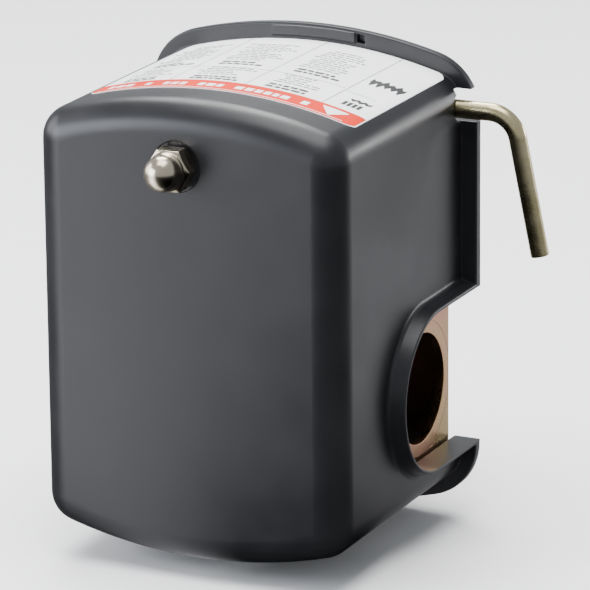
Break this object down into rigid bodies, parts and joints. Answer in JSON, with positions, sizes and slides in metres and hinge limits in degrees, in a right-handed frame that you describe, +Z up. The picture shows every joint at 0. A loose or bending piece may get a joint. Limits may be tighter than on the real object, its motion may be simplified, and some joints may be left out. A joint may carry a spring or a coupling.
{
  "type": "pressure switch",
  "caption": "Pressure switch with a removable hooded cover, side cut-off lever, adjustable springs, double-break contacts and a rear diaphragm pressure port.",
  "frame": {"origin": "centre of the pressure port's end face, where the pipe nipple enters", "axes": "+Z up towards the label, +Y out of the pressure port, -Y towards the cover's front face and cap nut, +X towards the cut-off lever"},
  "size_m": [0.0869, 0.0914, 0.098],
  "materials": {
    "cover_plastic": "satin moulded charcoal plastic",
    "label_paper": "white sticker with an orange-red band and plain grey bars",
    "nickel": "bright nickel plate",
    "yellow_zinc": "yellow chromate zinc plate",
    "white_zinc": "clear zinc plate",
    "spring_steel": "oiled spring wire",
    "phenolic": "moulded phenolic",
    "brass": "plain brass",
    "green_zinc": "green dyed zinc plate",
    "rubber": "moulded nitrile rubber"
  },
  "bodies": {
    "base": {"frame": "yellow_zinc", "actuator_pivot_pin": "spring_steel", "diaphragm_housing": "white_zinc", "diaphragm": "rubber", "housing_screw_1": "white_zinc", "housing_screw_2": "white_zinc", "housing_screw_3": "white_zinc", "housing_screw_4": "white_zinc", "housing_screw_5": "white_zinc", "housing_screw_6": "white_zinc", "range_stud": "white_zinc", "differential_stud": "white_zinc", "range_spring": "spring_steel", "differential_spring": "spring_steel", "contact_block": "phenolic", "terminal_1": "brass", "terminal_clamp_1": "white_zinc", "terminal_screw_1": "brass", "terminal_2": "brass", "terminal_clamp_2": "white_zinc", "terminal_screw_2": "brass", "terminal_3": "brass", "terminal_clamp_3": "white_zinc", "terminal_screw_3": "brass", "terminal_4": "brass", "terminal_clamp_4": "white_zinc", "terminal_screw_4": "brass", "block_screw_1": "white_zinc", "block_screw_2": "white_zinc", "ground_screw_1": "green_zinc", "ground_screw_2": "green_zinc"},
    "cover": {"cover": "cover_plastic", "cover_label": "label_paper"},
    "cap_nut": {"cap_nut": "nickel"},
    "cutoff_lever": {"cutoff_lever": "yellow_zinc"},
    "actuator": {"actuator_lever": "white_zinc"},
    "plunger": {"plunger": "brass"},
    "contact_carrier": {"contact_carrier": "phenolic", "contact_bridge_left": "brass", "contact_bridge_right": "brass", "snap_spring": "spring_steel"},
    "range_cup": {"range_spring_cup": "white_zinc"},
    "range_nut": {"range_nut": "white_zinc"},
    "differential_cup": {"differential_spring_cup": "white_zinc"},
    "differential_nut": {"differential_nut": "white_zinc"}
  },
  "joints": [
    {"name": "cover_lift", "type": "slide", "parent": "base", "child": "cover", "axis": [0, -1, 0], "range_m": [0, 0.08]},
    {"name": "cap_nut_turn", "type": "hinge", "parent": "cover", "child": "cap_nut", "pos_m": [-0.0015, -0.085, 0.0335], "axis": [0, 1, 0], "continuous": true},
    {"name": "cutoff_lever_turn", "type": "hinge", "parent": "base", "child": "cutoff_lever", "pos_m": [0.018, -0.0265, 0.0353], "axis": [1, 0, 0], "range_deg": [-25, 25]},
    {"name": "actuator_tilt", "type": "hinge", "parent": "base", "child": "actuator", "pos_m": [0, -0.0332, -0.012], "axis": [1, 0, 0], "range_deg": [0, 1.2], "stiffness_Nm_per_rad": 2, "springref_deg": -1.72, "deforming": ["range_spring", "differential_spring"]},
    {"name": "plunger_slide", "type": "slide", "parent": "base", "child": "plunger", "axis": [0, -1, 0], "range_m": [0, 0.00026]},
    {"name": "contact_tilt", "type": "hinge", "parent": "base", "child": "contact_carrier", "pos_m": [0, -0.0395, -0.014], "axis": [1, 0, 0], "range_deg": [0, 4.9], "deforming": ["snap_spring"]},
    {"name": "range_cup_slide", "type": "slide", "parent": "base", "child": "range_cup", "axis": [0, 1, 0], "range_m": [0, 0.003], "deforming": ["range_spring"]},
    {"name": "range_nut_turn", "type": "hinge", "parent": "range_cup", "child": "range_nut", "pos_m": [-0.0015, -0.065, 0.0335], "axis": [0, 1, 0], "range_deg": [0, 1400]},
    {"name": "differential_cup_slide", "type": "slide", "parent": "base", "child": "differential_cup", "axis": [0, 1, 0], "range_m": [0, 0.0018], "deforming": ["differential_spring"]},
    {"name": "differential_nut_turn", "type": "hinge", "parent": "differential_cup", "child": "differential_nut", "pos_m": [0.015, -0.05, 0.023], "axis": [0, 1, 0], "range_deg": [0, 960]}
  ],
  "couplings": [
    {"joint": "plunger_slide", "follows": "actuator_tilt", "m_per_rad": 0.012},
    {"joint": "contact_tilt", "follows": "actuator_tilt", "ratio": 4},
    {"joint": "range_nut_turn", "follows": "range_cup_slide", "rad_per_m": 7913.3},
    {"joint": "differential_nut_turn", "follows": "differential_cup_slide", "rad_per_m": 8976}
  ]
}
